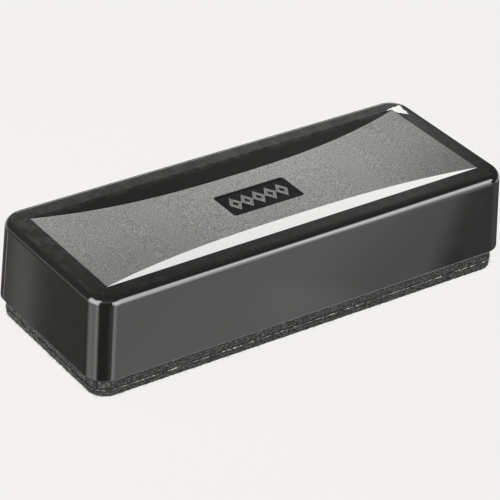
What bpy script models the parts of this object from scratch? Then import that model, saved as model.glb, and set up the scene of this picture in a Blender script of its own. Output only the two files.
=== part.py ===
"""Board eraser: a glossy moulded shell with a dished, textured top panel and a small badge,
standing on a foam and felt wiping pad.

Run with: blender --background --python part.py
Metres, +Z up. The origin is the middle of the wiping face, +X runs along the eraser, and -Y is
its front.
"""

import math

import bmesh
import bpy

# Shell, measured on its outer faces
BASE_LENGTH = 0.1100
BASE_WIDTH = 0.0434
OVERALL_HEIGHT = 0.0250
SHELL_BOTTOM = 0.0054
DRAFT = math.radians(2.4)
CORNER_RADIUS = 0.0052
TOP_EDGE_RADIUS = 0.0020
BOTTOM_EDGE_RADIUS = 0.0003
WALL = 0.0018

# Recess in the top: straight outer edges, and an inner edge that curves in towards the middle
RECESS_HALF_LENGTH = 0.0491
RECESS_HALF_WIDTH = 0.0158
PANEL_HALF_WIDTH_MIDDLE = 0.0104
PANEL_HALF_WIDTH_END = 0.01565
WAIST_POWER = 2.3
DISH_DEPTH_MIDDLE = 0.0010
DISH_DEPTH_END = 0.00003
POCKET_TAPER = 0.00005
RIM_OVERRUN = 0.3

# Top panel, its adhesive, the badge plate in its window, and the ornament on the plate
PANEL_THICKNESS = 0.0008
PANEL_EDGE_GAP = 0.00015
WINDOW_LENGTH = 0.0188
WINDOW_WIDTH = 0.0090
WINDOW_RADIUS = 0.0008
BADGE_THICKNESS = 0.0005
ORNAMENT_THICKNESS = 0.0002
ORNAMENT_GAP = 0.00005
LOZENGE_COUNT = 5
LOZENGE_PITCH = 0.0031
LOZENGE_HALF_LENGTH = 0.00155
LOZENGE_HALF_HEIGHT = 0.0026
LOZENGE_EYE_SHARE = 0.44
ORNAMENT_NECK_HALF_HEIGHT = 0.00025

# Wiping pad: felt face, adhesive, foam
PAD_INSET = 0.0013
PAD_CORNER_RADIUS = 0.0039
FELT_THICKNESS = 0.0021
FELT_EDGE_RADIUS = 0.0012
SEAM_THICKNESS = 0.0003
SEAM_INSET = 0.0002

# Layers that are stuck to each other keep this gap between their faces
TAPE_THICKNESS = 0.00015
GLUE_GAP = 0.0001
FIT_GAP = 0.0003

# Inside the shell: ribs, heat-staked posts and the board that the posts hold
RIB_THICKNESS = 0.0012
CROSS_RIB_X = (-0.024, 0.0, 0.024)
POST_X = 0.038
POST_Y = 0.011
POST_RADIUS = 0.0025
PIN_RADIUS = 0.0011
STAKE_RADIUS = 0.0018
STAKE_LENGTH = 0.0008
STAKE_RECESS = 0.00025
BOARD_THICKNESS = 0.0018
BOARD_HOLE_RADIUS = 0.00125
BOARD_HOLE_LENGTH = 0.00072
COUNTERSINK_RADIUS = 0.0024
TRAY_WALL = 0.0016
CEILING_EDGE_RADIUS = 0.0004

CORNER_SEGMENTS = 8
EDGE_SEGMENTS = 5
DISH_STATIONS = 32
DISH_COLUMNS = 4
TURNED_STEPS = 24
OVERCUT = 0.0010
SHARP_ANGLE = math.radians(35)
LEVEL_TOLERANCE = 1e-7
MERGE_DISTANCE = 1e-5

# Heights worked out from the sizes above
SEAM_BOTTOM = FELT_THICKNESS + GLUE_GAP
FOAM_BOTTOM = SEAM_BOTTOM + SEAM_THICKNESS + GLUE_GAP
FOAM_THICKNESS = SHELL_BOTTOM - GLUE_GAP - FOAM_BOTTOM
PAD_TAPE_BOTTOM = SHELL_BOTTOM
BOARD_BOTTOM = PAD_TAPE_BOTTOM + TAPE_THICKNESS + GLUE_GAP
BOARD_TOP = BOARD_BOTTOM + BOARD_THICKNESS
RIB_BOTTOM = BOARD_TOP + FIT_GAP
CEILING = OVERALL_HEIGHT - WALL
POCKET_DEPTH = PANEL_THICKNESS + TAPE_THICKNESS + 2 * GLUE_GAP
TRAY_UNDERSIDE = OVERALL_HEIGHT - DISH_DEPTH_MIDDLE - POCKET_DEPTH - TRAY_WALL
BADGE_BOTTOM = OVERALL_HEIGHT - DISH_DEPTH_MIDDLE - PANEL_THICKNESS


def clear_scene():
    for thing in list(bpy.data.objects):
        bpy.data.objects.remove(thing)


def make_collection(name):
    collection = bpy.data.collections.new(name)
    bpy.context.scene.collection.children.link(collection)
    return collection


def principled(name, colour, roughness, metallic=0.0):
    material = bpy.data.materials.new(name)
    material.use_nodes = True
    shader = material.node_tree.nodes["Principled BSDF"]
    shader.inputs["Base Color"].default_value = (*colour, 1.0)
    shader.inputs["Roughness"].default_value = roughness
    shader.inputs["Metallic"].default_value = metallic
    return material


def add_mesh_object(name, bm, collection, z):
    """Turns bm into a smooth-shaded object whose origin is on the eraser's centre line, at height z."""
    bmesh.ops.recalc_face_normals(bm, faces=bm.faces)
    mesh = bpy.data.meshes.new(name)
    bm.to_mesh(mesh)
    bm.free()
    mesh.shade_smooth()
    mesh.set_sharp_from_angle(angle=SHARP_ANGLE)
    thing = bpy.data.objects.new(name, mesh)
    thing.location.z = z
    collection.objects.link(thing)
    return thing


def add_cutter(name, bm, z):
    cutter = add_mesh_object(name, bm, bpy.data.collections["cutters"], z)
    cutter.hide_render = True
    cutter.display_type = "WIRE"
    return cutter


def cut(target, cutter):
    modifier = target.modifiers.new(cutter.name, "BOOLEAN")
    modifier.operation = "DIFFERENCE"
    modifier.solver = "EXACT"
    modifier.object = cutter


def shell_half_sizes(z, inset):
    """Half length and half width of the shell's drafted outer faces at height z, less an inset."""
    lean = (z - SHELL_BOTTOM) * math.tan(DRAFT)
    return BASE_LENGTH / 2 - lean - inset, BASE_WIDTH / 2 - lean - inset


def edges_where(bm, test):
    return [edge for edge in bm.edges if test(edge)]


def rounded_block(low, high, height, corner_radius, top_radius=0.0, bottom_radius=0.0):
    """A block from z 0 to height. low and high are its half sizes at the bottom and at the top."""
    bm = bmesh.new()
    bmesh.ops.create_cube(bm, size=2.0)
    for vert in bm.verts:
        half = high if vert.co.z > 0 else low
        vert.co.x *= half[0]
        vert.co.y *= half[1]
        vert.co.z = height if vert.co.z > 0 else 0.0
    upright = edges_where(bm, lambda e: abs(e.verts[0].co.z - e.verts[1].co.z) > height / 2)
    bevel(bm, upright, corner_radius, CORNER_SEGMENTS)
    for level, radius in ((height, top_radius), (0.0, bottom_radius)):
        if radius > 0:
            loop = edges_where(bm, lambda e: all(abs(v.co.z - level) < LEVEL_TOLERANCE for v in e.verts))
            bevel(bm, loop, radius, EDGE_SEGMENTS)
    return bm


def bevel(bm, edges, radius, segments):
    bmesh.ops.bevel(bm, geom=edges, offset=radius, offset_type="OFFSET",
                    segments=segments, profile=0.5, affect="EDGES")


def drafted_block(z_low, z_high, inset, corner_radius, **radii):
    """A rounded block that follows the shell's draft, its bottom at z 0."""
    low = shell_half_sizes(z_low, inset)
    high = shell_half_sizes(z_high, inset)
    return rounded_block(low, high, z_high - z_low, corner_radius, **radii)


def plain_box(size_x, size_y, z_low, z_high):
    bm = bmesh.new()
    bmesh.ops.create_cube(bm, size=1.0)
    for vert in bm.verts:
        vert.co.x *= size_x
        vert.co.y *= size_y
        vert.co.z = z_high if vert.co.z > 0 else z_low
    return bm


def turned(name, profile, collection, place):
    """A solid of revolution. profile is (radius, height) from the top of the axis to its bottom."""
    bm = bmesh.new()
    verts = [bm.verts.new((radius, 0.0, height)) for radius, height in profile]
    for first, second in zip(verts, verts[1:]):
        bm.edges.new((first, second))
    mesh = bpy.data.meshes.new(name)
    bm.to_mesh(mesh)
    bm.free()
    thing = bpy.data.objects.new(name, mesh)
    thing.location = place
    thing.hide_render = True
    thing.display_type = "WIRE"
    collection.objects.link(thing)
    screw = thing.modifiers.new("turn", "SCREW")
    screw.steps = screw.render_steps = TURNED_STEPS
    screw.use_merge_vertices = True
    screw.merge_threshold = MERGE_DISTANCE
    return thing


# The recess, the panel and the panel's adhesive all follow these two curves along X.


def panel_half_width(x):
    along = min(abs(x) / RECESS_HALF_LENGTH, 1.0)
    waist = PANEL_HALF_WIDTH_END - PANEL_HALF_WIDTH_MIDDLE
    return PANEL_HALF_WIDTH_END - waist * (1.0 - along**WAIST_POWER)


def dish_depth(x):
    along = min(abs(x) / RECESS_HALF_LENGTH, 1.0)
    return DISH_DEPTH_END + (DISH_DEPTH_MIDDLE - DISH_DEPTH_END) * (1.0 - along**2)


def dished_slab(name, inset, thickness, collection, z):
    """A thin sheet that fits the recess's floor outline, its upper side at height z."""
    bm = bmesh.new()
    bmesh.ops.create_grid(bm, x_segments=DISH_STATIONS, y_segments=DISH_COLUMNS, size=1.0)
    for vert in bm.verts:
        x = vert.co.x * (RECESS_HALF_LENGTH - inset)
        y = vert.co.y * (panel_half_width(x) - inset)
        vert.co = (x, y, -dish_depth(x))
    for vert in extruded_verts(bm):
        vert.co.z -= thickness
    return add_mesh_object(name, bm, collection, z)


def extruded_verts(bm):
    """Extrudes an open sheet into a closed body, and gives the vertices of its new side."""
    made = bmesh.ops.extrude_face_region(bm, geom=bm.faces[:])
    return [item for item in made["geom"] if isinstance(item, bmesh.types.BMVert)]


def recess_section(x):
    """(y, z) from one side to the other at station x: sloped wall, pocket for the panel, sloped wall.

    Each sloped wall runs on past the rim by the share RIM_OVERRUN of its own size.
    """
    edge, depth = panel_half_width(x), dish_depth(x)
    outer = RECESS_HALF_WIDTH + RIM_OVERRUN * (RECESS_HALF_WIDTH - edge)
    foot = edge - POCKET_TAPER
    half = [(outer, RIM_OVERRUN * depth), (edge, -depth), (foot, -depth - POCKET_DEPTH)]
    return [(-y, z) for y, z in half] + [(y, z) for y, z in reversed(half)]


def make_recess_cutter():
    columns = len(recess_section(0.0)) - 1
    bm = bmesh.new()
    bmesh.ops.create_grid(bm, x_segments=DISH_STATIONS, y_segments=columns, size=1.0)
    for vert in bm.verts:
        x = vert.co.x * RECESS_HALF_LENGTH
        column = round((vert.co.y + 1.0) / 2.0 * columns)
        y, z = recess_section(x)[column]
        vert.co = (x, y, z)
    for vert in extruded_verts(bm):
        vert.co.z = OVERCUT
    return add_cutter("recess_cutter", bm, OVERALL_HEIGHT)


def make_hollow_cutter():
    """The room inside the shell: open below, and around the ribs, posts and the tray's underside."""
    low = SHELL_BOTTOM - OVERCUT
    block = drafted_block(low, CEILING, WALL, CORNER_RADIUS - WALL, top_radius=CEILING_EDGE_RADIUS)
    hollow = add_cutter("hollow_cutter", block, low)
    tray = plain_box(2 * (RECESS_HALF_LENGTH + TRAY_WALL), 2 * (RECESS_HALF_WIDTH + TRAY_WALL),
                     TRAY_UNDERSIDE, OVERALL_HEIGHT)
    cut(hollow, add_cutter("tray_keeper", tray, 0.0))
    long_rib = plain_box(BASE_LENGTH, RIB_THICKNESS, RIB_BOTTOM, OVERALL_HEIGHT)
    cut(hollow, add_cutter("long_rib_keeper", long_rib, 0.0))
    for number, x in enumerate(CROSS_RIB_X):
        rib = plain_box(RIB_THICKNESS, BASE_WIDTH, RIB_BOTTOM, OVERALL_HEIGHT)
        keeper = add_cutter(f"cross_rib_keeper_{number}", rib, 0.0)
        keeper.location.x = x
        cut(hollow, keeper)
    for number, (x, y) in enumerate(post_places()):
        cut(hollow, make_post_keeper(number, x, y))
    return hollow


def post_places():
    return [(sx * POST_X, sy * POST_Y) for sx in (-1, 1) for sy in (-1, 1)]


def make_post_keeper(number, x, y):
    """A post whose pin goes through the board and is melted into the board's countersink."""
    stake_end = BOARD_BOTTOM + STAKE_RECESS
    stake_start = stake_end + STAKE_LENGTH
    profile = [(0.0, OVERALL_HEIGHT), (POST_RADIUS, OVERALL_HEIGHT), (POST_RADIUS, RIB_BOTTOM),
               (PIN_RADIUS, RIB_BOTTOM), (PIN_RADIUS, stake_start), (STAKE_RADIUS, stake_end),
               (0.0, stake_end)]
    return turned(f"post_keeper_{number}", profile, bpy.data.collections["cutters"], (x, y, 0.0))


def make_shell(collection):
    block = drafted_block(SHELL_BOTTOM, OVERALL_HEIGHT, 0.0, CORNER_RADIUS,
                          top_radius=TOP_EDGE_RADIUS, bottom_radius=BOTTOM_EDGE_RADIUS)
    shell = add_mesh_object("shell", block, collection, SHELL_BOTTOM)
    cut(shell, make_hollow_cutter())
    cut(shell, make_recess_cutter())
    return shell


def make_top_panel(collection):
    panel = dished_slab("top_panel", PANEL_EDGE_GAP, PANEL_THICKNESS, collection, OVERALL_HEIGHT)
    half = (WINDOW_LENGTH / 2, WINDOW_WIDTH / 2)
    window = rounded_block(half, half, 4 * OVERCUT, WINDOW_RADIUS)
    cut(panel, add_cutter("window_cutter", window, BADGE_BOTTOM - OVERCUT))
    return panel


def make_panel_tape(collection):
    top = OVERALL_HEIGHT - PANEL_THICKNESS - GLUE_GAP
    return dished_slab("panel_tape", 2 * PANEL_EDGE_GAP, TAPE_THICKNESS, collection, top)


def make_badge_plate(collection):
    half = (WINDOW_LENGTH / 2 - PANEL_EDGE_GAP, WINDOW_WIDTH / 2 - PANEL_EDGE_GAP)
    block = rounded_block(half, half, BADGE_THICKNESS, WINDOW_RADIUS - PANEL_EDGE_GAP)
    return add_mesh_object("badge_plate", block, collection, BADGE_BOTTOM)


def lozenge_centres():
    first = -LOZENGE_PITCH * (LOZENGE_COUNT - 1) / 2
    return [first + number * LOZENGE_PITCH for number in range(LOZENGE_COUNT)]


def chain_outline():
    """The outline of the joined lozenges: along its upper side, then back along its lower."""
    taper = LOZENGE_HALF_LENGTH * (1.0 - ORNAMENT_NECK_HALF_HEIGHT / LOZENGE_HALF_HEIGHT)
    upper = []
    for centre in lozenge_centres():
        upper += [(centre - taper, ORNAMENT_NECK_HALF_HEIGHT), (centre, LOZENGE_HALF_HEIGHT),
                  (centre + taper, ORNAMENT_NECK_HALF_HEIGHT)]
    return upper + [(x, -y) for x, y in reversed(upper)]


def eye_outline(centre):
    """The opening in one lozenge, of its own shape."""
    half_length = LOZENGE_HALF_LENGTH * LOZENGE_EYE_SHARE
    half_height = LOZENGE_HALF_HEIGHT * LOZENGE_EYE_SHARE
    return [(centre - half_length, 0.0), (centre, half_height),
            (centre + half_length, 0.0), (centre, -half_height)]


def make_badge_ornament(collection):
    """A row of joined open lozenges."""
    curve = bpy.data.curves.new("badge_ornament", "CURVE")
    curve.dimensions = "2D"
    curve.fill_mode = "BOTH"
    curve.extrude = ORNAMENT_THICKNESS / 2
    for outline in [chain_outline()] + [eye_outline(centre) for centre in lozenge_centres()]:
        spline = curve.splines.new("POLY")
        spline.points.add(len(outline) - 1)
        for point, (x, y) in zip(spline.points, outline):
            point.co = (x, y, 0.0, 1.0)
        spline.use_cyclic_u = True
    ornament = bpy.data.objects.new("badge_ornament", curve)
    ornament.location.z = BADGE_BOTTOM + BADGE_THICKNESS + ORNAMENT_GAP + ORNAMENT_THICKNESS / 2
    collection.objects.link(ornament)
    return ornament


def make_pad_board(collection):
    """The stiff board that closes the shell and carries the pad, with a countersunk hole for each post."""
    inset = WALL + FIT_GAP
    half = shell_half_sizes(BOARD_TOP, inset)
    block = rounded_block(half, half, BOARD_THICKNESS, CORNER_RADIUS - inset)
    board = add_mesh_object("pad_board", block, collection, BOARD_BOTTOM)
    profile = [(0.0, BOARD_THICKNESS + OVERCUT), (BOARD_HOLE_RADIUS, BOARD_THICKNESS + OVERCUT),
               (BOARD_HOLE_RADIUS, BOARD_THICKNESS - BOARD_HOLE_LENGTH), (COUNTERSINK_RADIUS, -GLUE_GAP),
               (0.0, -GLUE_GAP)]
    for number, (x, y) in enumerate(post_places()):
        place = (x, y, BOARD_BOTTOM)
        cutters = bpy.data.collections["cutters"]
        cut(board, turned(f"board_hole_cutter_{number}", profile, cutters, place))
    return board


def make_pad_tape(collection):
    inset = WALL + FIT_GAP + BOTTOM_EDGE_RADIUS
    half = shell_half_sizes(SHELL_BOTTOM, inset)
    block = rounded_block(half, half, TAPE_THICKNESS, CORNER_RADIUS - inset)
    return add_mesh_object("pad_tape", block, collection, PAD_TAPE_BOTTOM)


def pad_layer(name, thickness, z, collection, inset=0.0, bottom_radius=0.0):
    half = shell_half_sizes(SHELL_BOTTOM, PAD_INSET + inset)
    block = rounded_block(half, half, thickness, PAD_CORNER_RADIUS - inset, bottom_radius=bottom_radius)
    return add_mesh_object(name, block, collection, z)


def make_eraser():
    clear_scene()
    parts = make_collection("board_eraser")
    make_collection("cutters")
    black_gloss = principled("black_gloss_plastic", (0.012, 0.012, 0.012), 0.08)
    grey_texture = principled("grey_textured_plastic", (0.28, 0.27, 0.26), 0.6)
    badge_black = principled("badge_black", (0.010, 0.010, 0.010), 0.15)
    ornament_metal = principled("ornament_metal", (0.45, 0.44, 0.42), 0.3, 1.0)
    board_grey = principled("board_plastic", (0.10, 0.10, 0.10), 0.5)
    tape_clear = principled("adhesive_film", (0.55, 0.53, 0.48), 0.4)
    foam_grey = principled("foam", (0.075, 0.073, 0.070), 0.95)
    felt_grey = principled("felt", (0.060, 0.058, 0.056), 1.0)
    made = [
        (make_shell(parts), black_gloss),
        (make_top_panel(parts), grey_texture),
        (make_panel_tape(parts), tape_clear),
        (make_badge_plate(parts), badge_black),
        (make_badge_ornament(parts), ornament_metal),
        (make_pad_board(parts), board_grey),
        (make_pad_tape(parts), tape_clear),
        (pad_layer("foam_layer", FOAM_THICKNESS, FOAM_BOTTOM, parts), foam_grey),
        (pad_layer("felt_adhesive", SEAM_THICKNESS, SEAM_BOTTOM, parts, inset=SEAM_INSET), tape_clear),
        (pad_layer("felt_layer", FELT_THICKNESS, 0.0, parts, bottom_radius=FELT_EDGE_RADIUS), felt_grey),
    ]
    centre = bpy.data.objects.new("eraser", None)
    parts.objects.link(centre)
    for part, material in made:
        part.data.materials.append(material)
        part.parent = centre


make_eraser()
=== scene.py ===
"""Looks of the board eraser: a fine shell, textured panel, badge, foam and felt pad around the CAD frame.

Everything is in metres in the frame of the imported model: +X along the eraser, -Y its front, +Z up.
"""

import math
import random

import bmesh
import bpy
import numpy as np
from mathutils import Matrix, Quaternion, Vector, noise


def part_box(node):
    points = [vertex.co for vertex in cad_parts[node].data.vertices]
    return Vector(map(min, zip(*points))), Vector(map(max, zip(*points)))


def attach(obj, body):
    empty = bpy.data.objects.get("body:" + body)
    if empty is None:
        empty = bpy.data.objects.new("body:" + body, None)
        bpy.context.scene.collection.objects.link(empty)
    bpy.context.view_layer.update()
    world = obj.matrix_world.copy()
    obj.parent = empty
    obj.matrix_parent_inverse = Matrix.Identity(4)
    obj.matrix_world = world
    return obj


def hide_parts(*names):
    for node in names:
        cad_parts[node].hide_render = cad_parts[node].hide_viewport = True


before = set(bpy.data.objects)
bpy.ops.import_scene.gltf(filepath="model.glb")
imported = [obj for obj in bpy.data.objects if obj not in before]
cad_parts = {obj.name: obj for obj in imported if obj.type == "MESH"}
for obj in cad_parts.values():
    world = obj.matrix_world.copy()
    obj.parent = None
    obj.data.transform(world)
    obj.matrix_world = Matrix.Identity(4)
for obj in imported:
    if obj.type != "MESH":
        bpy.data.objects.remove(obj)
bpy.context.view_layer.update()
MM = 0.001

# Camera: a long lens from the front left, a little rolled
CAMERA_AZIMUTH = math.radians(-36.43)
CAMERA_ELEVATION = math.radians(31.595)
CAMERA_ROLL = math.radians(3.316)
CAMERA_LENS = 175.27
CAMERA_SENSOR = 36.0
CAMERA_AIM = Vector((1.60, 4.29, 7.28)) * MM
CAMERA_DISTANCE = 0.54766

# The floor shows almost only its own even glow, so that it stays pale and free of hot spots
PALE = (0.895, 0.880, 0.862, 1.0)
FLOOR_ALBEDO = 0.008
FLOOR_GLOW = 0.987

# Places from the frame
RIM_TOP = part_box("shell")[1].z
SHELL_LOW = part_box("shell")[0]
PLATE_LOW, PLATE_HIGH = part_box("badge_plate")
FELT_LOW, FELT_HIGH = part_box("felt_layer")
FOAM_LOW, FOAM_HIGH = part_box("foam_layer")

# Sizes that the frame holds only as mesh corners
BASE_HALF_SIZES = (55.0 * MM, 21.7 * MM)
DRAFT = math.radians(2.4)
CORNER_RADIUS = 5.2 * MM
TOP_EDGE_RADIUS = 2.0 * MM
BOTTOM_EDGE_RADIUS = 0.3 * MM
WALL = 1.8 * MM
RECESS_HALF_LENGTH = 49.1 * MM
RECESS_HALF_WIDTH = 15.8 * MM
WAIST_HALF_WIDTH = 10.4 * MM
END_HALF_WIDTH = 15.65 * MM
WAIST_POWER = 2.55
RECESS_SKEW = 0.24 * MM
DISH_MIDDLE = 1.0 * MM
DISH_END = 0.03 * MM
POCKET_DEPTH = 1.15 * MM
PANEL_THICKNESS = 0.8 * MM
PANEL_PLAY = 0.03 * MM
WINDOW_HALF = (9.4 * MM, 4.5 * MM)
WINDOW_RADIUS = 0.8 * MM
PAD_CORNER_RADIUS = 3.9 * MM
PAD_STEP = 0.18 * MM
FELT_WEAR = (1.5 * MM, 0.5 * MM)  # how far its lower edge is worn round, at the left and at the right
EYE_SHARE = 0.44                  # of a lozenge's size, for the opening in it

# A small dent in the rim: a point on each of its three sides and the way out, and how it tilts the light
DENT_EDGES = (
    ((50.0 * MM, 16.6 * MM, RIM_TOP), (-0.10, 0.995, 0.0)),
    ((51.7 * MM, 15.0 * MM, RIM_TOP), (0.98, -0.18, 0.0)),
    ((49.9 * MM, 13.5 * MM, RIM_TOP), (-0.77, -0.64, 0.0)),
)
DENT_TILT = (0.0, 0.165, 0.0)
DENT_RAGGEDNESS = 1.5 * MM


# ---------------------------------------------------------------- materials


def feed(tree, socket, value):
    """Links a socket to a node's output, or sets it to a plain number or vector."""
    if isinstance(value, bpy.types.NodeSocket):
        tree.links.new(value, socket)
    else:
        socket.default_value = value


def smooth_range(tree, value, low, high, to_low=0.0, to_high=1.0):
    """Maps low..high smoothly to to_low..to_high, holding the ends."""
    node = tree.nodes.new("ShaderNodeMapRange")
    node.interpolation_type = "SMOOTHSTEP"
    node.inputs["From Min"].default_value = low
    node.inputs["From Max"].default_value = high
    node.inputs["To Min"].default_value = to_low
    node.inputs["To Max"].default_value = to_high
    tree.links.new(value, node.inputs["Value"])
    return node.outputs["Result"]


def calc(tree, operation, *values):
    node = tree.nodes.new("ShaderNodeMath")
    node.operation = operation
    for socket, value in zip(node.inputs, values):
        feed(tree, socket, value)
    return node.outputs[0]


def object_point(tree):
    return tree.nodes.new("ShaderNodeTexCoord").outputs["Object"]


def split_xyz(tree, vector):
    node = tree.nodes.new("ShaderNodeSeparateXYZ")
    tree.links.new(vector, node.inputs[0])
    return node.outputs


def noise_value(tree, scale, detail=3.0, roughness=0.55, point=None):
    node = tree.nodes.new("ShaderNodeTexNoise")
    node.inputs["Scale"].default_value = scale
    node.inputs["Detail"].default_value = detail
    node.inputs["Roughness"].default_value = roughness
    tree.links.new(point or object_point(tree), node.inputs["Vector"])
    return node.outputs["Fac"]


def ramp(tree, value, stops):
    """A colour ramp; stops are (place, grey) or (place, (r, g, b))."""
    node = tree.nodes.new("ShaderNodeValToRGB")
    elements = node.color_ramp.elements
    while len(elements) < len(stops):
        elements.new(0.5)
    for element, (place, colour) in zip(elements, stops):
        rgb = colour if isinstance(colour, tuple) else (colour,) * 3
        element.position = place
        element.color = (*rgb, 1.0)
    tree.links.new(value, node.inputs["Fac"])
    return node.outputs["Color"]


def bump(tree, height, distance):
    node = tree.nodes.new("ShaderNodeBump")
    node.inputs["Strength"].default_value = 1.0
    node.inputs["Distance"].default_value = distance
    tree.links.new(height, node.inputs["Height"])
    return node.outputs["Normal"]


def new_material(name, **constants):
    """A Principled material; constants are socket names, with _ for a space."""
    material = bpy.data.materials.new(name)
    material.use_nodes = True
    shader = material.node_tree.nodes["Principled BSDF"]
    for key, value in constants.items():
        shader.inputs[key.replace("_", " ")].default_value = value
    return material, material.node_tree, shader


def vector_calc(tree, operation, *vectors):
    node = tree.nodes.new("ShaderNodeVectorMath")
    node.operation = operation
    for socket, vector in zip(node.inputs, vectors):
        feed(tree, socket, vector)
    return node.outputs["Value" if operation == "DOT_PRODUCT" else "Vector"]


def scaled(tree, vector, factor):
    node = tree.nodes.new("ShaderNodeVectorMath")
    node.operation = "SCALE"
    feed(tree, node.inputs["Vector"], vector)
    feed(tree, node.inputs["Scale"], factor)
    return node.outputs["Vector"]


def dent_mask(tree, point):
    """1 inside the ragged outline of a small dent in the rim, beside the panel's back right corner."""
    beyond = -1.0
    for place, outward in DENT_EDGES:
        away = vector_calc(tree, "DOT_PRODUCT", vector_calc(tree, "SUBTRACT", point, place), outward)
        beyond = calc(tree, "MAXIMUM", away, beyond)
    rough = noise_value(tree, 1100.0, 2.0, 0.6, point)
    ragged = calc(tree, "MULTIPLY_ADD", rough, DENT_RAGGEDNESS, beyond)
    return smooth_range(tree, ragged, 0.72 * MM, 0.82 * MM, 1.0, 0.0)


def gloss_black_material():
    """Polished black plastic with a thin film of smudges on the rim, and one small dent there."""
    material, tree, shader = new_material("gloss_black", IOR=1.5)
    point = object_point(tree)
    _, y, z = split_xyz(tree, point)
    broad = noise_value(tree, 420.0, 2.0)
    smudge = calc(tree, "MULTIPLY_ADD", noise_value(tree, 1500.0, 3.0, 0.6), 0.7, broad)
    on_rim = smooth_range(tree, z, RIM_TOP - 0.3 * MM, RIM_TOP - 0.05 * MM)
    film = calc(tree, "MULTIPLY", smooth_range(tree, smudge, 0.70, 1.05), on_rim)
    film = calc(tree, "MULTIPLY", film, smooth_range(tree, y, -16.0 * MM, 4.0 * MM, 0.45, 1.0))
    colour = ramp(tree, film, [(0.0, (0.0030, 0.0030, 0.0027)), (1.0, (0.0108, 0.0108, 0.0100))])
    tree.links.new(colour, shader.inputs["Base Color"])
    haze = smooth_range(tree, noise_value(tree, 160.0, 5.0), 0.42, 0.72, 0.022, 0.050)
    tree.links.new(haze, shader.inputs["Roughness"])
    ripple = bump(tree, noise_value(tree, 70.0, 2.0), 0.004 * MM)
    tilt = scaled(tree, DENT_TILT, dent_mask(tree, point))
    tilted = vector_calc(tree, "NORMALIZE", vector_calc(tree, "ADD", ripple, tilt))
    tree.links.new(tilted, shader.inputs["Normal"])
    return material


def panel_material():
    """Silver-grey plastic from a spark-eroded mould: a fine grain, with painted shade darkening it towards
    its front corners.
    """
    material, tree, shader = new_material("panel_grey", IOR=1.5, Specular_IOR_Level=0.03)
    point = object_point(tree)
    fine = noise_value(tree, 1.0 / (0.26 * MM), 1.0, 0.7, point)
    broad = noise_value(tree, 1.0 / (1.1 * MM), 2.0, 0.5, point)
    mixed = calc(tree, "MULTIPLY_ADD", broad, 0.06, calc(tree, "MULTIPLY", fine, 0.94))
    greys = [(0.30, (0.050, 0.049, 0.048)), (0.5, (0.109, 0.108, 0.106)), (0.70, (0.188, 0.186, 0.182))]
    x, y, _ = split_xyz(tree, point)
    # Painted shade: the base colour is darkened towards the front left and front right corners, standing in
    # for less light falling there.
    level = 1.0
    for share, (start_x, end_x), end_y in ((0.10, (-10, -40), -12), (0.30, (22, 50), -14)):
        along = smooth_range(tree, x, start_x * MM, end_x * MM)
        corner = calc(tree, "MULTIPLY", along, smooth_range(tree, y, 6 * MM, end_y * MM))
        level = calc(tree, "MULTIPLY_ADD", corner, -share, level)
    tree.links.new(scaled(tree, ramp(tree, mixed, greys), level), shader.inputs["Base Color"])
    tree.links.new(smooth_range(tree, fine, 0.3, 0.7, 0.46, 0.62), shader.inputs["Roughness"])
    tree.links.new(bump(tree, fine, 0.035 * MM), shader.inputs["Normal"])
    return material


def badge_material():
    material, tree, shader = new_material("badge_black", IOR=1.5, Specular_IOR_Level=0.03)
    colour = ramp(tree, noise_value(tree, 900.0), [(0.3, 0.005), (0.7, 0.009)])
    tree.links.new(colour, shader.inputs["Base Color"])
    satin = smooth_range(tree, noise_value(tree, 1500.0), 0.3, 0.7, 0.10, 0.18)
    tree.links.new(satin, shader.inputs["Roughness"])
    tree.links.new(bump(tree, noise_value(tree, 1800.0, 2.0), 0.006 * MM), shader.inputs["Normal"])
    return material


def ornament_material():
    material, tree, shader = new_material("ornament_silver", Metallic=0.55)
    colour = ramp(tree, noise_value(tree, 1800.0), [(0.3, (0.10, 0.099, 0.096)), (0.7, (0.14, 0.138, 0.134))])
    tree.links.new(colour, shader.inputs["Base Color"])
    satin = smooth_range(tree, noise_value(tree, 2600.0), 0.3, 0.7, 0.24, 0.36)
    tree.links.new(satin, shader.inputs["Roughness"])
    return material


def plain_plastic_material(name, low, high, roughness):
    """Moulded plastic that is seen only when the eraser is opened."""
    material, tree, shader = new_material(name, IOR=1.5)
    colour = ramp(tree, noise_value(tree, 700.0), [(0.3, low), (0.7, high)])
    tree.links.new(colour, shader.inputs["Base Color"])
    uneven = smooth_range(tree, noise_value(tree, 1200.0), 0.3, 0.7, roughness, roughness + 0.12)
    tree.links.new(uneven, shader.inputs["Roughness"])
    tree.links.new(bump(tree, noise_value(tree, 3000.0), 0.01 * MM), shader.inputs["Normal"])
    return material


def speckled_material(name, size, dark, middle, light, bump_height, at_left=0.5, **constants):
    """Foam and felt: dark grey with pale flecks of about a size, with painted shade darkening the left end.
    """
    material, tree, shader = new_material(name, Roughness=0.95, Specular_IOR_Level=0.2, **constants)
    point = object_point(tree)
    fine = noise_value(tree, 1.0 / size, 1.0, 0.6, point)
    coarse = noise_value(tree, 0.3 / size, 2.0, 0.5, point)
    mixed = calc(tree, "MULTIPLY_ADD", coarse, 0.25, calc(tree, "MULTIPLY", fine, 0.75))
    greys = ((0.40, dark), (0.50, middle), (0.62, light))
    warm = [(place, (grey, grey, grey * 0.97)) for place, grey in greys]
    # Painted shade: the colour on the left end face drops to at_left, standing in for less light there than
    # the left lamp gives; on the glue bead this takes it down to the felt's dark grey.
    left_end_shade = smooth_range(tree, split_xyz(tree, point)[0], -53.4 * MM, -52.2 * MM, at_left, 1.0)
    tree.links.new(scaled(tree, ramp(tree, mixed, warm), left_end_shade), shader.inputs["Base Color"])
    tree.links.new(bump(tree, fine, bump_height), shader.inputs["Normal"])
    return material


def foam_material():
    return speckled_material("foam_flecked", 0.34 * MM, 0.006, 0.020, 0.090, 0.09 * MM)


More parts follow.
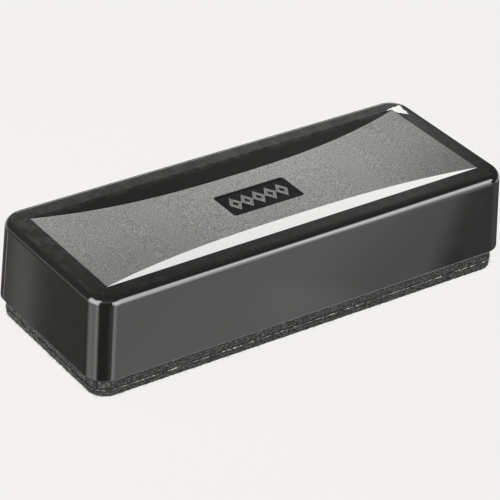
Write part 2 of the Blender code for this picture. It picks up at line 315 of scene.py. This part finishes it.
def felt_material():
    return speckled_material("felt_flecked", 0.32 * MM, 0.005, 0.015, 0.072, 0.11 * MM, Sheen_Weight=0.04)


def fibre_material():
    return speckled_material("felt_hair", 0.6 * MM, 0.01, 0.03, 0.10, 0.02 * MM)


def glue_material():
    return speckled_material("dried_glue", 0.8 * MM, 0.06, 0.24, 0.60, 0.05 * MM, 0.10)


# ---------------------------------------------------------------- camera, floor and light


def make_camera():
    back = Vector((
        math.sin(CAMERA_AZIMUTH) * math.cos(CAMERA_ELEVATION),
        -math.cos(CAMERA_AZIMUTH) * math.cos(CAMERA_ELEVATION),
        math.sin(CAMERA_ELEVATION),
    ))
    data = bpy.data.cameras.new("camera")
    data.lens = CAMERA_LENS
    data.sensor_width = CAMERA_SENSOR
    data.clip_start, data.clip_end = 0.05, 20.0
    camera = bpy.data.objects.new("camera", data)
    bpy.context.scene.collection.objects.link(camera)
    camera.location = CAMERA_AIM + back * CAMERA_DISTANCE
    level = (-back).to_track_quat("-Z", "Y")
    camera.rotation_mode = "QUATERNION"
    camera.rotation_quaternion = level @ Quaternion((0.0, 0.0, 1.0), CAMERA_ROLL)
    bpy.context.scene.camera = camera


# The studio round the eraser: soft boxes and a white table, by azimuth and elevation in degrees.
# Each has four azimuths and four elevations, between which it fades in, holds and fades out, then its
# strength and how far its azimuths lean, in degrees for each degree of elevation above LEAN_LEVEL.
FILL = 0.17
LEAN_LEVEL = -26.7
SOFT_BOXES = (
    ((-8.0, -4.0, 26.0, 38.0), (-13.0, 18.0, 23.0, 45.0), 11.3, 0.0),       # front right
    ((28.0, 36.0, 50.0, 57.0), (15.0, 25.0, 27.0, 45.0), 12.0, 0.0),        # its narrower right end
    ((31.0, 35.0, 38.0, 42.0), (-9.0, 15.0, 16.0, 25.0), 7.0, 0.0),         # below where the two meet
    ((2.0, 6.0, 25.0, 30.0), (-24.0, -4.0, 10.0, 24.0), 3.2, 0.0),          # and its lower left end
    ((-125.0, -109.0, -70.0, -60.0), (-13.0, 9.0, 30.0, 48.0), 11.3, 0.0),  # left
    ((-86.0, -76.0, -62.0, -52.0), (24.0, 34.0, 42.0, 58.0), 5.0, 0.0),     # its upper right corner
    ((-75.0, -60.0, -8.0, 0.0), (22.0, 36.0, 44.0, 58.0), 0.7, 0.0),        # the wall between them
    ((134.0, 140.0, 154.0, 161.0), (9.8, 11.4, 15.4, 17.0), 5.5, 0.0),      # low, behind
    ((105.0, 115.0, 172.0, 178.0), (-60.0, -40.0, 4.0, 8.0), -0.10, 0.0),   # black below it
    ((125.0, 136.0, 168.0, 178.0), (42.0, 48.0, 60.0, 72.0), -0.13, 0.0),   # and above it
    ((136.5, 139.8, 170.0, 178.0), (18.0, 24.0, 28.5, 33.5), 0.40, 0.0),    # its glow
    ((85.0, 110.0, 181.0, 182.0), (32.0, 38.0, 46.0, 60.0), 0.15, 0.0),     # the wall behind
    ((-182.0, -181.0, -165.0, -140.0), (32.0, 38.0, 46.0, 60.0), 0.15, 0.0),
    ((-180.0, -179.0, 179.0, 180.0), (44.0, 58.0, 89.0, 90.0), 0.10, 0.0),  # the ceiling
    ((-2.0, 4.0, 39.8, 40.7), (-90.0, -80.0, -6.0, 2.0), 0.98, 0.30),       # the table in front
    ((-2.0, 4.0, 37.2, 40.0), (-90.0, -80.0, -6.0, 2.0), 0.52, 0.90),       # its nearer part
    ((-2.0, 4.0, 6.0, 24.0), (-90.0, -80.0, -6.0, 2.0), 1.7, 0.0),          # its bright edge
    ((34.5, 36.6, 37.2, 38.4), (-31.0, -29.4, -28.8, -28.3), 0.30, 0.0),    # a pale patch on it
    ((-26.0, -4.0, 0.0, 2.0), (-90.0, -80.0, -6.0, 2.0), 0.50, 0.0),        # the shade beside it
    ((39.6, 40.8, 72.0, 100.0), (-44.0, -38.0, -4.0, 2.0), 0.26, 0.0),      # the table further off
    ((41.0, 45.0, 110.0, 125.0), (-90.0, -85.0, -44.0, -38.0), 2.4, 0.0),   # and near the right
    ((-129.0, -107.0, -70.0, -60.0), (-90.0, -80.0, -6.0, 2.0), 2.0, 0.0),  # the table at the left
    ((-82.0, -79.0, -75.0, -64.0), (-90.0, -80.0, -6.0, 2.0), 1.1, 0.0),    # its bright edge
    ((-148.5, -148.2, -147.1, -146.5), (-90.0, -80.0, -12.0, -4.0), 0.15, 0.0),      # behind, at the left
    ((-147.85, -147.45, -147.35, -146.85), (-90.0, -80.0, -12.0, -4.0), 0.25, 0.0),
    ((-152.0, -150.5, -149.0, -148.4), (-90.0, -80.0, -12.0, -4.0), 2.1, 0.0),       # a lit edge there
    ((-160.0, -156.0, -126.0, -120.0), (-17.0, -8.0, -4.0, 2.0), 0.90, 0.0),         # the table's far edge
    ((62.0, 76.0, 128.0, 143.0), (-26.0, -23.5, -7.0, 0.0), 1.3, 0.0),               # and at the right
    ((154.0, 159.0, 179.0, 180.0), (-26.0, -23.5, -7.0, 0.0), 1.1, 0.0),             # and at the back
    ((-180.0, -179.0, -161.0, -157.0), (-26.0, -23.5, -7.0, 0.0), 1.1, 0.0),
)
DIFFUSE_SHARE = 0.08


def make_studio():
    world = bpy.data.worlds.new("studio")
    bpy.context.scene.world = world
    world.use_nodes = True
    tree = world.node_tree
    tree.nodes.clear()
    direction = tree.nodes.new("ShaderNodeTexCoord").outputs["Generated"]
    x, y, z = split_xyz(tree, direction)
    azimuth = calc(tree, "DEGREES", calc(tree, "ARCTAN2", x, calc(tree, "MULTIPLY", y, -1.0)))
    elevation = calc(tree, "DEGREES", calc(tree, "ARCSINE", z))
    above = calc(tree, "SUBTRACT", elevation, LEAN_LEVEL)
    total = FILL
    for azimuths, elevations, strength, lean in SOFT_BOXES:
        leaning = calc(tree, "MULTIPLY_ADD", above, -lean, azimuth) if lean else azimuth
        mask = strength
        for value, (rise, full, hold, fall) in ((leaning, azimuths), (elevation, elevations)):
            mask = calc(tree, "MULTIPLY", smooth_range(tree, value, rise, full), mask)
            mask = calc(tree, "MULTIPLY", smooth_range(tree, value, hold, fall, 1.0, 0.0), mask)
        total = calc(tree, "ADD", mask, total)
    paths = tree.nodes.new("ShaderNodeLightPath")
    share = calc(tree, "MULTIPLY_ADD", paths.outputs["Is Diffuse Ray"], DIFFUSE_SHARE - 1.0, 1.0)
    studio = tree.nodes.new("ShaderNodeBackground")
    studio.inputs["Color"].default_value = (1.0, 0.99, 0.975, 1.0)
    tree.links.new(calc(tree, "MULTIPLY", total, share), studio.inputs["Strength"])
    plain = tree.nodes.new("ShaderNodeBackground")
    plain.inputs["Color"].default_value = PALE
    mix = tree.nodes.new("ShaderNodeMixShader")
    tree.links.new(paths.outputs["Is Camera Ray"], mix.inputs["Fac"])
    tree.links.new(studio.outputs[0], mix.inputs[1])
    tree.links.new(plain.outputs[0], mix.inputs[2])
    output = tree.nodes.new("ShaderNodeOutputWorld")
    tree.links.new(mix.outputs[0], output.inputs["Surface"])


def area_lamp(name, place, aim, size, power):
    """A soft lamp that lights the eraser but isn't mirrored in it."""
    data = bpy.data.lights.new(name, "AREA")
    data.size = size
    data.energy = power
    lamp = bpy.data.objects.new(name, data)
    bpy.context.scene.collection.objects.link(lamp)
    lamp.location = place
    lamp.rotation_mode = "QUATERNION"
    lamp.rotation_quaternion = (Vector(aim) - Vector(place)).to_track_quat("-Z", "Y")
    lamp.visible_camera = False
    lamp.visible_glossy = False


def make_floor():
    bm = bmesh.new()
    bmesh.ops.create_grid(bm, x_segments=1, y_segments=1, size=2.5)
    mesh = bpy.data.meshes.new("floor")
    bm.to_mesh(mesh)
    bm.free()
    floor = bpy.data.objects.new("floor", mesh)
    bpy.context.scene.collection.objects.link(floor)
    floor.location.z = -0.02 * MM
    floor.visible_glossy = False
    material, _, shader = new_material("floor_paper", Roughness=1.0, Specular_IOR_Level=0.0)
    shader.inputs["Base Color"].default_value = (FLOOR_ALBEDO, FLOOR_ALBEDO, FLOOR_ALBEDO, 1.0)
    shader.inputs["Emission Color"].default_value = PALE
    shader.inputs["Emission Strength"].default_value = FLOOR_GLOW
    mesh.materials.append(material)


# ---------------------------------------------------------------- mesh helpers


def add_object(name, bm):
    bmesh.ops.recalc_face_normals(bm, faces=bm.faces)
    mesh = bpy.data.meshes.new(name)
    bm.to_mesh(mesh)
    bm.free()
    made = bpy.data.objects.new(name, mesh)
    bpy.context.scene.collection.objects.link(made)
    return made


def evaluated(made):
    """Applies the piece's modifiers."""
    bpy.context.view_layer.update()
    graph = bpy.context.evaluated_depsgraph_get()
    mesh = bpy.data.meshes.new_from_object(made.evaluated_get(graph))
    made.modifiers.clear()
    made.data = mesh
    return made


def cut_away(target, *cutters):
    """Cuts the cutters out of target, applies it and removes them."""
    for cutter in cutters:
        modifier = target.modifiers.new(cutter.name, "BOOLEAN")
        modifier.operation = "DIFFERENCE"
        modifier.solver = "EXACT"
        modifier.object = cutter
    evaluated(target)
    for cutter in cutters:
        bpy.data.objects.remove(cutter)
    return target


def smooth_shade(made, angle, weighted=True):
    made.data.shade_smooth()
    made.data.set_sharp_from_angle(angle=math.radians(angle))
    if weighted:
        modifier = made.modifiers.new("normals", "WEIGHTED_NORMAL")
        modifier.mode = "FACE_AREA"
        modifier.weight = 100
        modifier.keep_sharp = True
    return made


def finish_piece(made, material, nodes):
    made.data.materials.clear()
    made.data.materials.append(material)
    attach(made, "root")
    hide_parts(*nodes)
    return made


def rounded_block(low, high, bottom, top, radius, top_radius=0.0, bottom_radius=0.0, corner=24, edge=16):
    """A closed block. low and high are its half sizes at the heights bottom and top."""
    bm = bmesh.new()
    bmesh.ops.create_cube(bm, size=2.0)
    for vert in bm.verts:
        half = high if vert.co.z > 0 else low
        vert.co = (vert.co.x * half[0], vert.co.y * half[1], top if vert.co.z > 0 else bottom)
    upright = [e for e in bm.edges if abs(e.verts[0].co.z - e.verts[1].co.z) > (top - bottom) / 2]
    bevel(bm, upright, radius, corner)
    for level, size in ((top, top_radius), (bottom, bottom_radius)):
        if size > 0:
            bevel(bm, [e for e in bm.edges if all(abs(v.co.z - level) < 1e-7 for v in e.verts)], size, edge)
    return bm


def bevel(bm, edges, radius, segments):
    bmesh.ops.bevel(bm, geom=edges, offset=radius, offset_type="OFFSET",
                    segments=segments, profile=0.5, affect="EDGES")


def shell_half_sizes(z, inset=0.0):
    """The shell's drafted outer faces at height z, less an inset."""
    lean = (z - SHELL_LOW.z) * math.tan(DRAFT)
    return tuple(half - lean - inset for half in BASE_HALF_SIZES)


def panel_half_width(x):
    along = min(abs(x) / RECESS_HALF_LENGTH, 1.0)
    return END_HALF_WIDTH - (END_HALF_WIDTH - WAIST_HALF_WIDTH) * (1.0 - along**WAIST_POWER)


def dish_depth(x):
    along = min(abs(x) / RECESS_HALF_LENGTH, 1.0)
    return DISH_END + (DISH_MIDDLE - DISH_END) * (1.0 - along**WAIST_POWER)


def extruded_verts(bm):
    made = bmesh.ops.extrude_face_region(bm, geom=bm.faces[:])
    return [item for item in made["geom"] if isinstance(item, bmesh.types.BMVert)]


# ---------------------------------------------------------------- shell


def recess_cutter(stations=120):
    """The recess as a solid: two sloped facets down to the panel, then a pocket under it."""

    def section(x):
        edge, depth = panel_half_width(x), dish_depth(x)
        outer = RECESS_HALF_WIDTH + 0.3 * (RECESS_HALF_WIDTH - edge)
        half = [(outer, 0.3 * depth), (edge, -depth), (edge - 0.05 * MM, -depth - POCKET_DEPTH)]
        return [(-y, z) for y, z in half] + [(y, z) for y, z in reversed(half)]

    columns = len(section(0.0)) - 1
    bm = bmesh.new()
    bmesh.ops.create_grid(bm, x_segments=stations, y_segments=columns, size=1.0)
    for vert in bm.verts:
        x = vert.co.x * RECESS_HALF_LENGTH
        y, z = section(x)[round((vert.co.y + 1.0) / 2.0 * columns)]
        vert.co = (x, y + RECESS_SKEW * x / RECESS_HALF_LENGTH, RIM_TOP + z)
    for vert in extruded_verts(bm):
        vert.co.z = RIM_TOP + MM
    return add_object("recess_cutter", bm)


def make_shell():
    bottom, ceiling = SHELL_LOW.z, RIM_TOP - WALL
    block = rounded_block(shell_half_sizes(bottom), shell_half_sizes(RIM_TOP), bottom, RIM_TOP,
                          CORNER_RADIUS, TOP_EDGE_RADIUS, BOTTOM_EDGE_RADIUS)
    shell = add_object("shell_moulding", block)
    low = bottom - MM
    room = rounded_block(shell_half_sizes(low, WALL), shell_half_sizes(ceiling, WALL), low, ceiling,
                         CORNER_RADIUS - WALL)
    hollow = add_object("hollow", room)
    cut_away(shell, hollow, recess_cutter())
    smooth_shade(shell, 8.0)
    return finish_piece(shell, gloss_black_material(), ["shell"])


# ---------------------------------------------------------------- panel and badge


def make_panel():
    bm = bmesh.new()
    bmesh.ops.create_grid(bm, x_segments=160, y_segments=40, size=1.0)
    for vert in bm.verts:
        x = vert.co.x * (RECESS_HALF_LENGTH - PANEL_PLAY)
        y = vert.co.y * (panel_half_width(x) - PANEL_PLAY) + RECESS_SKEW * x / RECESS_HALF_LENGTH
        vert.co = (x, y, RIM_TOP - dish_depth(x))
    for vert in extruded_verts(bm):
        vert.co.z -= PANEL_THICKNESS
    panel = add_object("textured_panel", bm)
    opening = rounded_block(WINDOW_HALF, WINDOW_HALF, PLATE_LOW.z - MM, RIM_TOP + MM, WINDOW_RADIUS)
    window = add_object("window", opening)
    cut_away(panel, window)
    smooth_shade(panel, 30.0)
    return finish_piece(panel, panel_material(), ["top_panel"])


def make_badge():
    """A black tray that lines the panel's window, with thin walls up to just under the panel."""
    play, wall = 0.04 * MM, 0.30 * MM
    top = RIM_TOP - DISH_MIDDLE - 0.03 * MM
    outer = (WINDOW_HALF[0] - play, WINDOW_HALF[1] - play)
    inner = (outer[0] - wall, outer[1] - wall)
    tray = add_object("badge_tray", rounded_block(outer, outer, PLATE_LOW.z, top, WINDOW_RADIUS - play,
                                                  0.08 * MM, corner=12, edge=4))
    floor_half = (inner[0] - 0.10 * MM, inner[1] - 0.10 * MM)
    room = add_object("badge_room", rounded_block(floor_half, inner, PLATE_HIGH.z, top + 0.2 * MM, 0.4 * MM,
                                                  bottom_radius=0.10 * MM, corner=12, edge=4))
    cut_away(tray, room)
    smooth_shade(tray, 35.0)
    return finish_piece(tray, badge_material(), ["badge_plate"])


def make_ornament():
    """Five open lozenges in a row, joined at their points, with rounded edges."""
    low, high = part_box("badge_ornament")
    half_length, neck, soft = 1.55 * MM, 0.25 * MM, 0.05 * MM
    taper = half_length * (1.0 - neck / high.y)
    pitch = (high.x - taper) / 2
    centres = [pitch * place for place in range(-2, 3)]
    upper = []
    for centre in centres:
        upper += [(centre - taper, neck), (centre, high.y), (centre + taper, neck)]
    outlines = [upper + [(x, -y) for x, y in reversed(upper)]]
    for centre in centres:
        eye_x, eye_y = EYE_SHARE * half_length, EYE_SHARE * high.y
        outlines.append([(centre - eye_x, 0.0), (centre, eye_y), (centre + eye_x, 0.0), (centre, -eye_y)])
    curve = bpy.data.curves.new("badge_lozenges", "CURVE")
    curve.dimensions = "2D"
    curve.fill_mode = "BOTH"
    curve.bevel_depth, curve.bevel_resolution, curve.offset = soft, 3, -soft
    curve.extrude = (high.z - low.z) / 2 - soft
    for outline in outlines:
        spline = curve.splines.new("POLY")
        spline.points.add(len(outline) - 1)
        for point, (x, y) in zip(spline.points, outline):
            point.co = (x, y, 0.0, 1.0)
        spline.use_cyclic_u = True
    drawn = bpy.data.objects.new("lozenge_curve", curve)
    bpy.context.scene.collection.objects.link(drawn)
    graph = bpy.context.evaluated_depsgraph_get()
    evaluated_mesh = bpy.data.meshes.new_from_object(drawn.evaluated_get(graph))
    bm = bmesh.new()
    bm.from_mesh(evaluated_mesh)
    bmesh.ops.remove_doubles(bm, verts=bm.verts[:], dist=0.002 * MM)
    bmesh.ops.translate(bm, verts=bm.verts[:], vec=(0.0, 0.0, (low.z + high.z) / 2))
    bpy.data.objects.remove(drawn)
    bpy.data.meshes.remove(evaluated_mesh)
    ornament = add_object("badge_lozenges", bm)
    smooth_shade(ornament, 40.0)
    return finish_piece(ornament, ornament_material(), ["badge_ornament"])


# ---------------------------------------------------------------- pad


def ring_outline(high, radius, step):
    """Points round a rounded rectangle, about a step apart, and their inner line for shrinking it."""
    half_x, half_y = high.x, high.y
    straight_x, straight_y = half_x - radius, half_y - radius
    points = []
    for sign_x, sign_y, start in ((1, 1, 0.0), (-1, 1, 0.5), (-1, -1, 1.0), (1, -1, 1.5)):
        turns = max(8, round(math.pi / 2 * radius / step))
        for i in range(turns):
            angle = (start + 0.5 * i / turns) * math.pi
            points.append((sign_x * straight_x + radius * math.cos(angle),
                           sign_y * straight_y + radius * math.sin(angle)))
        across = sign_x == sign_y
        count = round((2 * straight_x if across else 2 * straight_y) / step)
        angle = (start + 0.5) * math.pi
        x0 = sign_x * straight_x + radius * math.cos(angle)
        y0 = sign_y * straight_y + radius * math.sin(angle)
        run_x = -sign_x * 2 * straight_x if across else 0.0
        run_y = 0.0 if across else -sign_y * 2 * straight_y
        for i in range(count):
            points.append((x0 + run_x * i / count, y0 + run_y * i / count))
    outer = np.array(points)
    inner = np.zeros_like(outer)
    inner[:, 0] = np.clip(outer[:, 0], -(half_x - half_y), half_x - half_y)
    return outer, inner


def ring_loft(name, high, radius, step, profile, right_profile=None):
    """A closed pad. profile runs from the middle of its top to the middle of its bottom, as (inset, z),
    and turns into right_profile towards +X.
    """
    outer, inner = ring_outline(high, radius, step)
    around = len(outer)
    to_right = np.clip(0.5 + 0.5 * outer[:, 0] / high.x, 0.0, 1.0)
    vertices = []
    for left, right in zip(profile, right_profile or profile):
        inset = left[0] + (right[0] - left[0]) * to_right
        z = left[1] + (right[1] - left[1]) * to_right
        ring = inner + (outer - inner) * (1.0 - inset / high.y)[:, None]
        vertices.append(np.column_stack([ring, z]))
    here = np.arange(around)
    beside = np.roll(here, -1)
    faces = []
    for row in range(len(profile) - 1):
        faces.append(np.column_stack([here, beside, beside + around, here + around]) + row * around)
    mesh = bpy.data.meshes.new(name)
    mesh.from_pydata(np.concatenate(vertices).tolist(), [], np.concatenate(faces).tolist())
    bm = bmesh.new()
    bm.from_mesh(mesh)
    bpy.data.meshes.remove(mesh)
    bmesh.ops.remove_doubles(bm, verts=bm.verts[:], dist=0.002 * MM)
    made = add_object(name, bm)
    made.data.shade_smooth()
    return made


def push_out(made, amount):
    """Moves each vertex along its normal by amount(point, normal)."""
    moved = [v.co + v.normal * amount(v.co, v.normal) for v in made.data.vertices]
    for vertex, point in zip(made.data.vertices, moved):
        vertex.co = point
    made.data.update()


def grain(point, size, seed=0.0):
    return noise.noise(point / size + Vector((seed, 2.0 * seed, -seed)))


def steps(start, end, count):
    return [start + (end - start) * i / count for i in range(count + 1)]


def pad_profile(low_z, high_z, half_y, round_top, round_bottom, rows, cap_rings):
    """Top middle, rounded top edge, side and rounded bottom edge down to the bottom middle."""
    profile = [(inset, high_z) for inset in steps(half_y, round_top, cap_rings[0])[:-1]]
    for i in range(5):
        angle = math.pi / 8 * i
        profile.append((round_top * (1 - math.sin(angle)), high_z - round_top * (1 - math.cos(angle))))
    profile += [(0.0, z) for z in steps(high_z - round_top, low_z + round_bottom, rows)[1:-1]]
    for i in range(9):
        angle = math.pi / 16 * i
        profile.append((round_bottom * (1 - math.cos(angle)), low_z + round_bottom * (1 - math.sin(angle))))
    profile += [(inset, low_z) for inset in steps(round_bottom, half_y, cap_rings[1])[1:]]
    return profile


def make_foam():
    profile = pad_profile(FOAM_LOW.z, FOAM_HIGH.z, FOAM_HIGH.y, 0.15 * MM, 0.12 * MM, 15, (6, 6))
    foam = ring_loft("foam_pad", FOAM_HIGH, PAD_CORNER_RADIUS, PAD_STEP, profile)

    def pores(point, normal):
        side = 1.0 - abs(normal.z)
        pit = min(grain(point, 0.42 * MM), grain(point, 0.30 * MM, 3.7))
        return side * MM * (0.16 * pit + 0.05 * grain(point, 4.0 * MM, 9.0) + 0.04)

    push_out(foam, pores)
    return finish_piece(foam, foam_material(), ["foam_layer"])


def make_felt():
    profiles = [pad_profile(FELT_LOW.z, FELT_HIGH.z, FELT_HIGH.y, 0.10 * MM, worn, 8, (6, 28))
                for worn in FELT_WEAR]
    felt = ring_loft("felt_pad", FELT_HIGH, PAD_CORNER_RADIUS, PAD_STEP, *profiles)

    def tufts(point, normal):
        side = 1.0 - max(0.0, abs(normal.z) - 0.2) / 0.8
        lump = 0.16 * grain(point, 0.36 * MM, 1.3) + 0.16 * grain(point, 0.9 * MM, 5.1)
        if normal.z < -0.9:
            return MM * (0.05 * grain(point, 1.2 * MM, 2.2) - 0.06)
        return MM * side * (lump + 0.07 * grain(point, 6.0 * MM, 7.7))

    push_out(felt, tufts)
    for vertex in felt.data.vertices:
        vertex.co.z = max(vertex.co.z, 0.0)
    return finish_piece(felt, felt_material(), ["felt_layer"])


def make_fibres(count=3200):
    """Loose hairs that stand out of the felt's edge, each a thin bent three-sided prism."""
    rng = random.Random(11)
    outer, _ = ring_outline(FELT_HIGH, PAD_CORNER_RADIUS, 0.5 * MM)
    vertices, faces = [], []
    for _ in range(count):
        i = rng.randrange(len(outer))
        edge = Vector((*outer[i], 0.0))
        along = (Vector((*outer[(i + 1) % len(outer)], 0.0)) - edge).normalized()
        outward = Vector((along.y, -along.x, 0.0))
        z = rng.uniform(0.15 * MM, FELT_HIGH.z)
        worn = FELT_WEAR[0] + (FELT_WEAR[1] - FELT_WEAR[0]) * (0.5 + 0.5 * edge.x / FELT_HIGH.x)
        sunk = 0.0 if z > worn else (1.0 - math.sqrt(max(0.0, 1.0 - (1.0 - z / worn) ** 2))) * worn
        start = edge - outward * (sunk + 0.08 * MM) + along * rng.uniform(-0.3, 0.3) * MM + Vector((0, 0, z))
        length = rng.choice((0.35, 0.45, 0.6, 0.9)) * MM * rng.uniform(0.7, 1.2)
        way = outward + along * rng.uniform(-1.3, 1.3) + Vector((0, 0, rng.uniform(-0.6, 0.5)))
        way.normalize()
        bend = along * rng.uniform(-0.5, 0.5) + Vector((0, 0, rng.uniform(-0.5, 0.35)))
        thick = rng.uniform(0.012, 0.026) * MM
        first = len(vertices)
        for j in range(4):
            t = j / 3
            centre = start + way * length * t + bend * length * t * t * 0.6
            centre.z = max(centre.z, 0.03 * MM)
            side = way.cross(Vector((0, 0, 1))).normalized()
            over = way.cross(side)
            size = thick * (1.0 - 0.6 * t)
            for k in range(3):
                angle = 2 * math.pi * k / 3
                vertices.append(centre + (side * math.cos(angle) + over * math.sin(angle)) * size)
        for j in range(3):
            for k in range(3):
                a, b = first + 3 * j + k, first + 3 * j + (k + 1) % 3
                faces.append((a, b, b + 3, a + 3))
        faces += [(first + 2, first + 1, first), (first + 9, first + 10, first + 11)]
    mesh = bpy.data.meshes.new("felt_fibres")
    mesh.from_pydata(vertices, [], faces)
    made = bpy.data.objects.new("felt_fibres", mesh)
    bpy.context.scene.collection.objects.link(made)
    mesh.shade_smooth()
    return finish_piece(made, fibre_material(), ["felt_layer"])


def make_seam():
    """The glue line between foam and felt: an uneven bead with larger dashes, and even at the left end."""
    rng = random.Random(5)
    dashes = [(rng.uniform(0.0, 1.0), rng.choice((0.15, 0.25, 0.6, 1.1)) * MM, rng.uniform(0.08, 0.14) * MM)
              for _ in range(130)]
    low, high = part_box("felt_adhesive")
    edge = Vector((FELT_HIGH.x, FELT_HIGH.y, 0.0))
    outer, _ = ring_outline(edge, PAD_CORNER_RADIUS, 0.12 * MM)
    around, sides = len(outer), 8
    middle = (low.z + high.z) / 2
    lengths = np.linalg.norm(np.roll(outer, -1, 0) - outer, axis=1)
    place = np.concatenate([[0.0], np.cumsum(lengths)[:-1]])
    total = float(lengths.sum())
    vertices = []
    for i in range(around):
        point = Vector((*outer[i], 0.0))
        ahead = Vector((*outer[(i + 1) % around], 0.0)) - Vector((*outer[i - 1], 0.0))
        outward = Vector((ahead.y, -ahead.x, 0.0)).normalized()
        size = MM * max(0.02, 0.045 + 0.08 * grain(point, 2.6 * MM, 4.0) + 0.06 * grain(point, 0.6 * MM, 8.0))
        for at, half_length, height in dashes:
            gap = abs(place[i] - at * total) / half_length
            if gap < 1.0:
                size = max(size, height * math.sqrt(1.0 - gap * gap))
        if outward.x < -0.8:
            size = 0.11 * MM
        lift = 0.05 * MM * grain(point, 5.0 * MM, 6.0)
        for k in range(sides):
            angle = 2 * math.pi * k / sides
            out = 0.07 * MM + size * math.cos(angle)
            up = middle + lift + 0.8 * size * math.sin(angle)
            vertices.append(point + outward * out + Vector((0, 0, up)))
    faces = []
    for i in range(around):
        for k in range(sides):
            a, b = i * sides + k, i * sides + (k + 1) % sides
            c, d = ((i + 1) % around) * sides + (k + 1) % sides, ((i + 1) % around) * sides + k
            faces.append((a, b, c, d))
    mesh = bpy.data.meshes.new("glue_seam")
    mesh.from_pydata(vertices, [], faces)
    bm = bmesh.new()
    bm.from_mesh(mesh)
    bpy.data.meshes.remove(mesh)
    seam = add_object("glue_seam", bm)
    seam.data.shade_smooth()
    return finish_piece(seam, glue_material(), ["felt_adhesive"])


def main():
    make_camera()
    make_studio()
    make_floor()
    area_lamp("lamp_left", (-0.127, 0.059, 0.057), (0.0, 0.0, 0.024), 0.05, 0.42)
    area_lamp("lamp_above", (0.019, 0.025, 0.073), (0.012, 0.006, 0.024), 0.03, 0.045)
    area_lamp("lamp_front", (-0.05, -0.26, 0.05), (0.0, -0.02, 0.003), 0.12, 0.12)
    make_shell()
    make_panel()
    make_badge()
    make_ornament()
    make_foam()
    make_felt()
    make_fibres()
    make_seam()
    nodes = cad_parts
    for name, material in (
        ("pad_board", plain_plastic_material("board_plastic", 0.09, 0.12, 0.45)),
        ("panel_tape", plain_plastic_material("panel_film", (0.50, 0.48, 0.42), (0.60, 0.58, 0.52), 0.35)),
        ("pad_tape", plain_plastic_material("pad_film", (0.50, 0.48, 0.42), (0.60, 0.58, 0.52), 0.35)),
    ):
        nodes[name].data.materials.clear()
        nodes[name].data.materials.append(material)
    bpy.context.scene.view_settings.view_transform = "Standard"


main()
